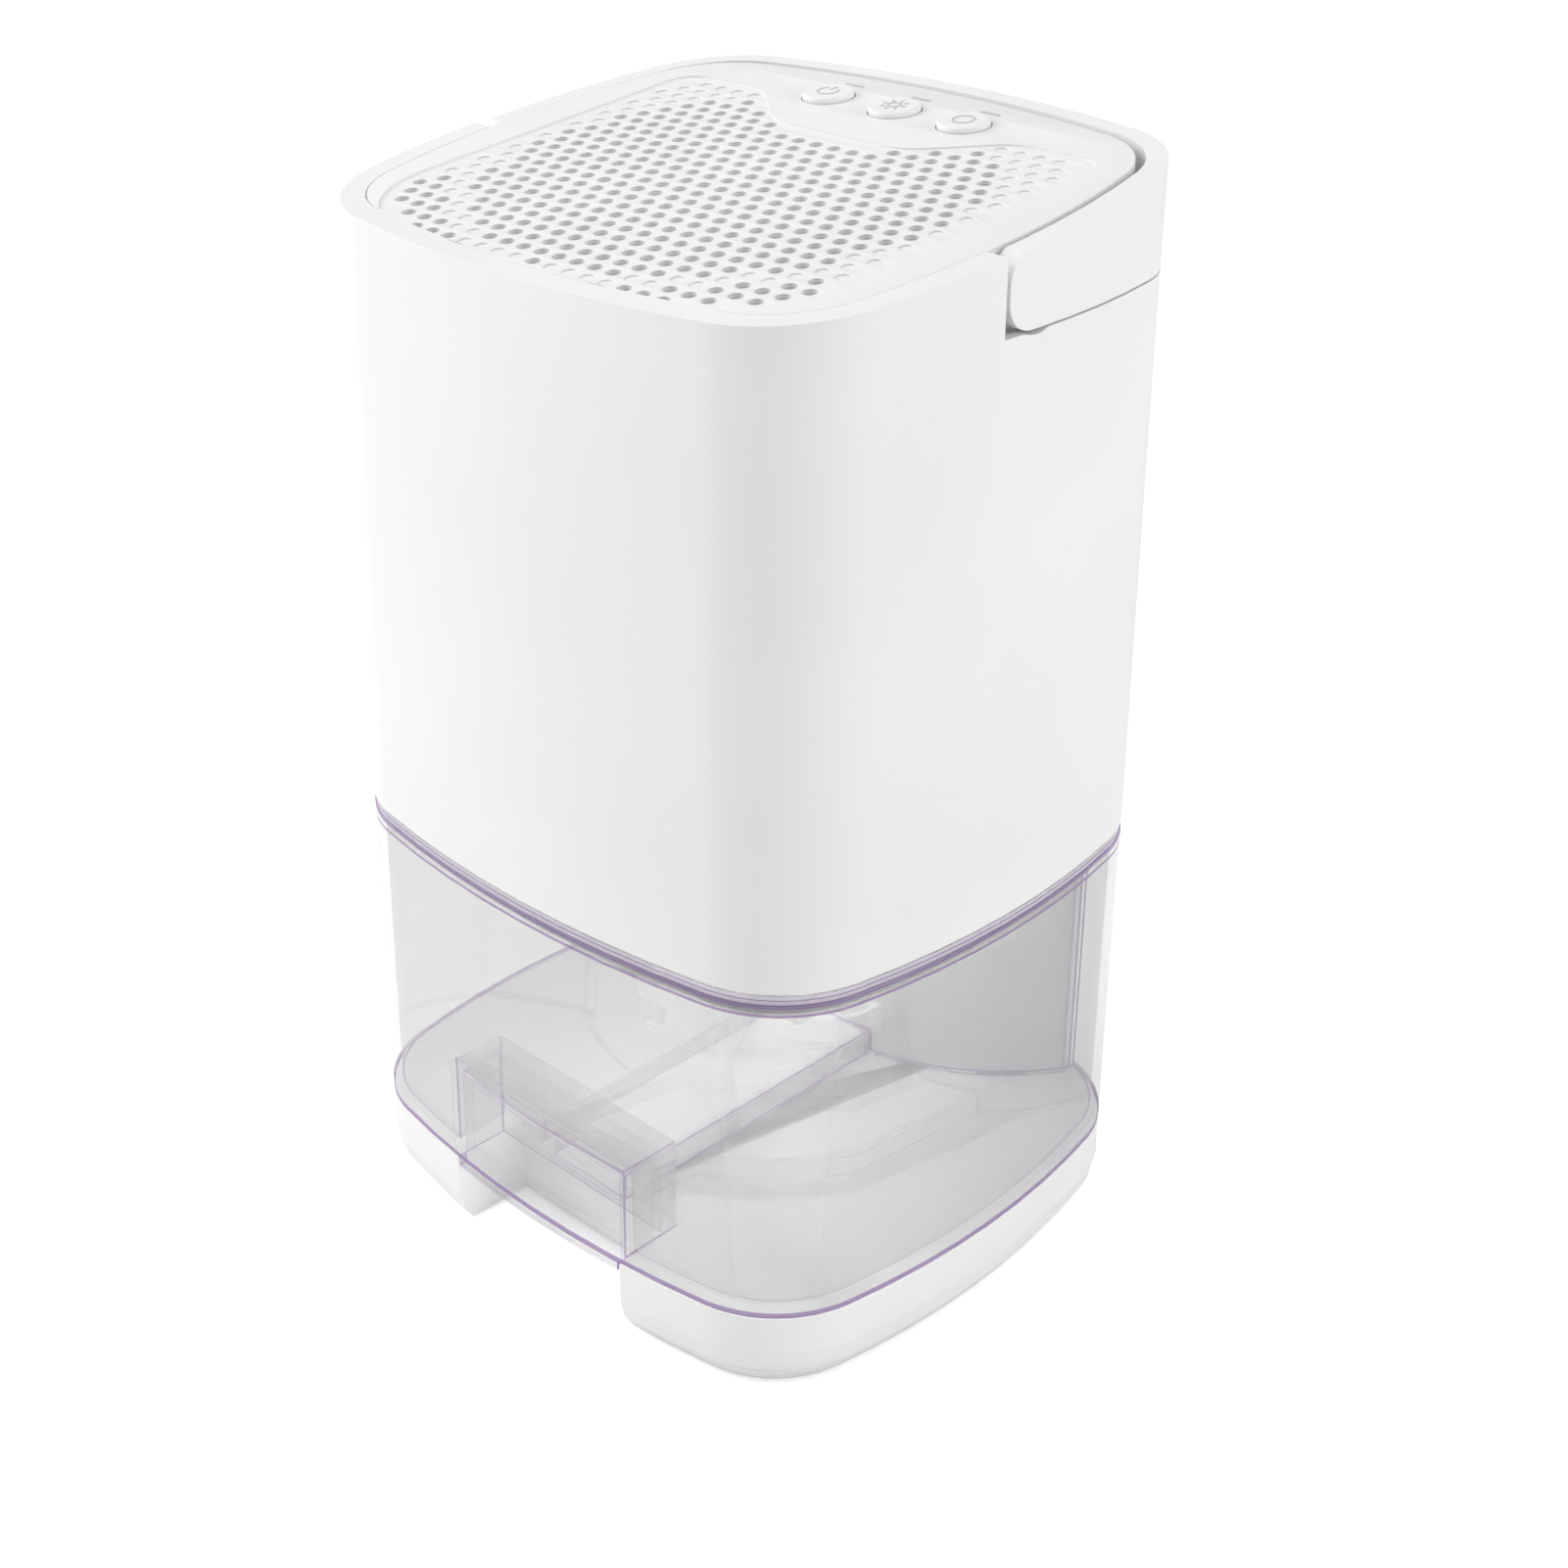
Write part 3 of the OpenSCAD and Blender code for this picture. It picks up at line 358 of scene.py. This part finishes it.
def makeStudio():
    work = bmesh.new()
    bmesh.ops.create_grid(work, x_segments=1, y_segments=1, size=studio["floorSize"] / 2)
    mesh = bpy.data.meshes.new("floor")
    work.to_mesh(mesh)
    work.free()
    material, tree, shader, place = startMaterial("studioPaper", {
        "Roughness": 0.9, "Specular IOR Level": 0.1, "Emission Color": hexColour("#FFFFFF")})
    driftingColour(tree, shader, place, 900, "#EFEFEF", "#F2F2F2")
    tree.links.new(seenDirectly(tree, studio["floorGlow"], 0), shader.inputs["Emission Strength"])
    floor = linkMesh("studioFloor", mesh, [material])

    world = bpy.data.worlds.new("studioAir")
    scene.world = world
    world.use_nodes = True
    air = world.node_tree.nodes["Background"]
    air.inputs["Color"].default_value = hexColour("#FFFFFF")
    world.node_tree.links.new(seenDirectly(world.node_tree, studio["backdrop"], studio["sky"]),
                              air.inputs["Strength"])

    # key from the left, a weaker fill from the right, a broad panel above
    panels = {"keyPanel": ((-1.3, -0.75, 0.9), 1.1, 15), "sidePanel": ((1.5, 0.7, 0.6), 0.9, 7.5),
              "topPanel": ((-0.1, 0.2, 1.6), 1.4, 3.5)}
    for name, (place, size, power) in panels.items():
        light = bpy.data.lights.new(name, "AREA")
        light.shape = "SQUARE"
        light.size = size
        light.energy = power
        lamp = bpy.data.objects.new(name, light)
        scene.collection.objects.link(lamp)
        lamp.location = place
        aim = Vector((0, 0, studio["aimHeight"])) - Vector(place)
        lamp.rotation_euler = aim.to_track_quat("-Z", "Y").to_euler()
    # the night light under the housing glows softly down into the tank
    glow = bpy.data.lights.new("nightLight", "AREA")
    glow.shape = "DISK"
    glow.size = studio["glowSize"]
    glow.energy = studio["nightLight"]
    lamp = bpy.data.objects.new("nightLight", glow)
    scene.collection.objects.link(lamp)
    lamp.location = (0, 0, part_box("bottom_plate")[0].z - studio["glowDrop"] * mm)
    lamp.visible_camera = lamp.visible_transmission = lamp.visible_glossy = False
    scene.view_settings.view_transform = "Standard"
    # light crosses many clear walls one after the other
    scene.cycles.transparent_max_bounces = 32
    scene.cycles.transmission_bounces = 16
    scene.cycles.max_bounces = 16


makeCamera()
makeStudio()
print("camera, floor and light ready")


for nodeName in ("front_shell", "rear_shell"):
    softCopy(nodeName, 0.35, 2)
softCopy("rear_column", 0.5)
softCopy("bottom_plate", 0.3)
base = {"footHeight": 1.0, "footRound": 2.6, "outerX": 62, "outerY": 55}


def roundFoot(work):
    count = roundLevel(work, base["footHeight"] * mm, base["footRound"], 5,
                       lambda m: abs(m.x) > base["outerX"] * mm or abs(m.y) > base["outerY"] * mm)
    print("base: rounded", count, "foot edges")


softCopy("base_tray", 0.8, 3, 25, shape=roundFoot)
softCopy("handle", 0.7, 3)
print("housing done")


topCover = {
    "thickness": 2.5, "fieldDepth": 0.4, "dimpleDepth": 0.35, "pitch": 5.0, "hole": 3.1,
    "outletRadius": 53, "outletY": -5, "bandRadius": 57.5, "bandY": -34,
    "fieldHalfWidth": 59.6, "fieldCorner": 24, "waveInner": 14, "waveOuter": 40,
    "waveDepth": 15, "sideRound": 7, "fieldRim": 0.8, "buttonBand": 18, "lip": 0.14,
    "slope": 0.12, "flush": 0.4, "topDraft": 0.9,
    "wellX": 6.4, "wellY": 8.3, "bulgeX": 3.6, "bulgeY": 4.1, "cornerRadius": 28,
}
bodyLow, bodyHigh = cadBox[0] / mm, cadBox[1] / mm
bodyWidth, bodyDepth = bodyHigh.x - bodyLow.x, bodyHigh.y - bodyLow.y
coverLow, coverHigh = [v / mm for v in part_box("top_cover")]
slopeAngle = atan(topCover["slope"])
topMiddle = (bodyHigh.z + topCover["flush"]
             - topCover["slope"] * (bodyDepth / 2 - topCover["topDraft"]))
onTop = Matrix.Translation((0, 0, topMiddle * mm)) @ Matrix.Rotation(slopeAngle, 4, "X")


def arcPoints(cx, cy, r, a0, a1, steps):
    return [(cx + r * cos(radians(a0 + (a1 - a0) * i / steps)),
             cy + r * sin(radians(a0 + (a1 - a0) * i / steps))) for i in range(steps)]


# square with bulged sides and round corners, half sizes a and b
def bulgedOutline(a, b, r, side=12, corner=16):
    s = topCover
    cx, cy = a - s["bulgeX"] - r, b - s["bulgeY"] - r
    rx = (cy * cy + s["bulgeX"] ** 2) / (2 * s["bulgeX"])
    ry = (cx * cx + s["bulgeY"] ** 2) / (2 * s["bulgeY"])
    ax = degrees(atan(cy / sqrt(rx * rx - cy * cy)))
    ay = degrees(atan(cx / sqrt(ry * ry - cx * cx)))
    return (arcPoints(cx - rx + s["bulgeX"], 0, rx + r, -ax, ax, side)
            + arcPoints(cx, cy, r, ax, 90 - ay, corner)
            + arcPoints(0, cy - ry + s["bulgeY"], ry + r, 90 - ay, 90 + ay, side)
            + arcPoints(-cx, cy, r, 90 + ay, 180 - ax, corner)
            + arcPoints(rx - cx - s["bulgeX"], 0, rx + r, 180 - ax, 180 + ax, side)
            + arcPoints(-cx, -cy, r, 180 + ax, 270 - ay, corner)
            + arcPoints(0, ry - cy - s["bulgeY"], ry + r, 270 - ay, 270 + ay, side)
            + arcPoints(cx, -cy, r, 270 + ay, 360 - ax, corner))


coverFront = -bodyDepth / 2 + topCover["wellX"]
coverBack = bodyDepth / 2 - topCover["wellY"]
fieldFront = coverFront + topCover["fieldRim"]
waveSide = coverBack - topCover["buttonBand"]


def coverOutline(more=0):
    middle = (coverFront + coverBack) / 2
    return [(x, y + middle) for x, y in bulgedOutline(
        bodyWidth / 2 - topCover["wellX"] - more, (coverBack - coverFront) / 2 - more,
        topCover["cornerRadius"] - topCover["wellX"] - more)]


def waveEdge(x):
    s = topCover
    t = min(1, max(0, (abs(x) - s["waveInner"]) / (s["waveOuter"] - s["waveInner"])))
    return waveSide - s["waveDepth"] * (0.5 + 0.5 * cos(pi * t))


def fieldOutline(more=0):
    w, r, n = topCover["fieldHalfWidth"] - more, topCover["fieldCorner"] - more, 48
    front, small = fieldFront + more, topCover["sideRound"]
    span = w - small
    back = [(span - 2 * span * i / n, waveEdge(span - 2 * span * i / n) - more)
            for i in range(n + 1)]
    return (arcPoints(w - r, front + r, r, -90, 0, 20)
            + arcPoints(span, waveSide - more - small, small, 0, 90, 10) + back
            + arcPoints(-span, waveSide - more - small, small, 90, 180, 10)
            + arcPoints(r - w, front + r, r, 180, 270, 20))


def inField(x, y, margin):
    w, r = topCover["fieldHalfWidth"] - margin, topCover["fieldCorner"]
    dx, dy, small = abs(x) - (w - r), fieldFront + margin + r - y, topCover["sideRound"]
    return (abs(x) < w and fieldFront + margin < y < waveEdge(x) - margin
            and (dx < 0 or dy < 0 or hypot(dx, dy) < r)
            and hypot(max(0, abs(x) - w + small), max(0, y - waveSide + margin + small)) < small)


# middles of the staggered holes: through ones, and blind dimples
def holeMiddles():
    s = topCover
    row, margin = s["pitch"] * sqrt(3) / 2, s["hole"] / 2 + 0.8
    through, blind = [], []
    for j in range(30):
        for i in range(-14, 15):
            x, y = (i + j % 2 / 2) * s["pitch"], fieldFront + margin + j * row
            if not inField(x, y, margin - 0.1):
                continue
            d = hypot(x, y - s["outletY"])
            open_ = d < s["outletRadius"] or (d > s["bandRadius"] and y < s["bandY"])
            (through if open_ else blind).append((x, y))
    return through, blind


def ring(x, y, r, steps=14):
    return [(x + r * cos(2 * pi * i / steps), y + r * sin(2 * pi * i / steps))
            for i in range(steps)]


# a flat plate with holes, from z0 up to z1 under the sloped top, its rims rounded by lip
def slopedPlate(name, outlines, z0, z1, lip):
    curve = bpy.data.curves.new(name, "CURVE")
    curve.dimensions = "2D"
    curve.fill_mode = "BOTH"
    curve.extrude = (z1 - z0) / 2 * mm - lip * mm
    curve.bevel_depth = lip * mm
    curve.bevel_resolution = 1
    curve.offset = -lip * mm
    for points in outlines:
        spline = curve.splines.new("POLY")
        spline.points.add(len(points) - 1)
        for point, (x, y) in zip(spline.points, points):
            point.co = (x * mm, y / cos(slopeAngle) * mm, 0, 1)
        spline.use_cyclic_u = True
    holder = bpy.data.objects.new(name, curve)
    scene.collection.objects.link(holder)
    graph = bpy.context.evaluated_depsgraph_get()
    mesh = bpy.data.meshes.new_from_object(holder.evaluated_get(graph))
    bpy.data.objects.remove(holder)
    mesh.transform(onTop @ Matrix.Translation((0, 0, (z0 + z1) / 2 * mm)))
    return mesh


def joinMeshes(name, meshes, materials, smooth=30):
    work = bmesh.new()
    for mesh in meshes:
        work.from_mesh(mesh)
        bpy.data.meshes.remove(mesh)
    bmesh.ops.remove_doubles(work, verts=work.verts, dist=2e-6)
    bmesh.ops.recalc_face_normals(work, faces=work.faces)
    for face in work.faces:
        face.smooth = True
        face.material_index = 0
    for edge in work.edges:
        edge.smooth = edge.calc_face_angle(0) < radians(smooth)
    mesh = bpy.data.meshes.new(name)
    work.to_mesh(mesh)
    work.free()
    return linkMesh(name, mesh, materials)


buttons = {"pitch": 19.2, "diameter": 11.4, "gap": 0.3, "y": coverBack - 14.8, "proud": 1.2}


def makeCover():
    s = topCover
    through, blind = holeMiddles()
    wells = [ring(i * buttons["pitch"], buttons["y"], buttons["diameter"] / 2 + buttons["gap"], 48)
             for i in (-1, 0, 1)]
    open_ = [ring(x, y, s["hole"] / 2) for x, y in through]
    shut = [ring(x, y, s["hole"] / 2) for x, y in blind]
    layers = [
        slopedPlate("rim", [coverOutline(), fieldOutline()] + wells, -s["fieldDepth"], 0, 0.12),
        slopedPlate("dimples", [coverOutline()] + wells + open_ + shut,
                    -s["dimpleDepth"] - s["fieldDepth"], -s["fieldDepth"], s["lip"]),
        slopedPlate("plate", [coverOutline()] + wells + open_,
                    -s["thickness"], -s["dimpleDepth"] - s["fieldDepth"], 0.05),
    ]
    cover = joinMeshes("perforated_cover", layers, [finishes["white_shell"]])
    standFor(cover, "top_cover")
    print("cover:", len(through), "open holes,", len(blind), "dimples")


makeCover()
for nodeName in ("button_power", "button_light", "button_mode"):
    softCopy(nodeName, 0.5, 3)

icons = {"ring": 2.3, "line": 0.5, "ray": 1.1, "rise": 0.12, "labelWidth": 5.2, "labelDepth": 0.9,
         "labelY": 53.0, "fade": 0.04}


# part of a ring, as one closed outline
def arcBand(x, y, r, width, a0, a1, steps=24):
    outer = arcPoints(x, y, r + width / 2, a0, a1, steps)
    inner = arcPoints(x, y, r - width / 2, a1, a0, steps)
    return outer + inner


def bar(x, y, length, width, angle):
    c, s = cos(radians(angle)), sin(radians(angle))
    a, b = length / 2, width / 2
    return [(x + u * c - v * s, y + u * s + v * c)
            for u, v in ((-a, -b), (a, -b), (a, b), (-a, b))]


# icon lines stand proud of each cap: a power mark, a sun and a plain ring
def makeIcons():
    y, r, w = buttons["y"], icons["ring"], icons["line"]
    marks = {
        "button_power": [arcBand(-buttons["pitch"], y, r, w, 125, 415),
                         bar(-buttons["pitch"], y + r - 0.4, 2.2, w, 90)],
        "button_light": [ring(0, y, r * 0.6 + w / 2, 24), ring(0, y, r * 0.6 - w / 2, 24)]
        + [bar((r + 0.3) * cos(radians(a)), y + (r + 0.3) * sin(radians(a)), icons["ray"], w, a)
           for a in range(0, 360, 45)],
        "button_mode": [ring(buttons["pitch"], y, r + w / 2, 32),
                        ring(buttons["pitch"], y, r - w / 2, 32)],
    }
    for nodeName, outlines in marks.items():
        low = buttons["proud"] - 0.05
        mesh = slopedPlate(nodeName, outlines, low, low + icons["rise"] + 0.05, icons["fade"])
        mark = joinMeshes("icon_" + nodeName, [mesh], [greyPrint])
        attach(mark, bodyOfNode[nodeName])
    labels = [bar(i * buttons["pitch"], icons["labelY"], icons["labelWidth"],
                  icons["labelDepth"], 0)
              for i in (-1, 0, 1)]
    mesh = slopedPlate("labels", labels, -0.05, icons["rise"], icons["fade"])
    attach(joinMeshes("label_bars", [mesh], [greyPrint]), bodyOfNode["top_cover"])


makeIcons()

tank = {"outerWall": 0.8, "footLine": 1.3, "rimLines": ((0.4, 0.5), (2.2, 0.6)),
        "pocketEdge": 0.6, "lidLines": ((0.8, 0.25),)}


# cuts the outer wall at two heights and gives the strip between them another finish: the frosted
# band, or the painted light of a violet line
def wallStrip(work, low, high, finish=1):
    for height in (low, high):
        bmesh.ops.bisect_plane(work, geom=work.verts[:] + work.edges[:] + work.faces[:],
                               plane_co=(0, 0, height * mm), plane_no=(0, 0, 1))
    for face in work.faces:
        centre = face.calc_center_median() / mm
        if low < centre.z < high and abs(face.normal.z) < 0.2:
            outward = face.normal.x * centre.x + face.normal.y * centre.y
            reach = hypot(centre.x / bodyWidth, centre.y / bodyDepth) * 2
            if outward > 0 and reach > tank["outerWall"]:
                face.material_index = finish


# light trapped in the clear wall leaves it as violet lines at the foot and under the rim,
# each given as its drop below the rim and its width
def tankLines(work):
    foot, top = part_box("rear_column")[0].z / mm + 0.4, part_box("water_tank")[1].z / mm
    wallStrip(work, foot, foot + tank["footLine"])
    for drop, width in tank["rimLines"]:
        wallStrip(work, top - drop - width, top - drop)


# the edge of the lid's flange is frosted, with two violet lines round it, painted light where light
# trapped in the clear wall leaves it
def lidLines(work):
    top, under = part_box("tank_lid")[1].z / mm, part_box("water_tank")[1].z / mm
    wallStrip(work, under, top)
    for drop, width in tank["lidLines"]:
        wallStrip(work, top - drop - width, top - drop, 2)


# the tank's rounded edges and its strips are painted with the violet edge light
softCopy("water_tank", tank["pocketEdge"], 3, 30, [finishes["clear_tank"], violetEdgeLight], 1,
         shape=tankLines)
softCopy("tank_lid", 0.15, 2, 30, [finishes["clear_tank"], frostedRim, violetEdgeLight], 1,
         shape=lidLines)
print("tank done")

plain = ["drip_tray", "float_guide", "tank_float", "lid_plug", "rubber_feet", "dc_jack",
         "handle_pins", "peltier_module", "foam_gasket", "air_duct", "fan_frame", "fan_rotor"]
for nodeName in plain:
    softCopy(nodeName, 0.25)
for nodeName, holder in frame["nodes"].items():
    finish = finishes[slotOfNode[nodeName]]
    if holder.data.materials:
        for index in range(len(holder.material_slots)):
            holder.material_slots[index].material = finish
    else:
        holder.data.materials.append(finish)
print("every node has its finish")
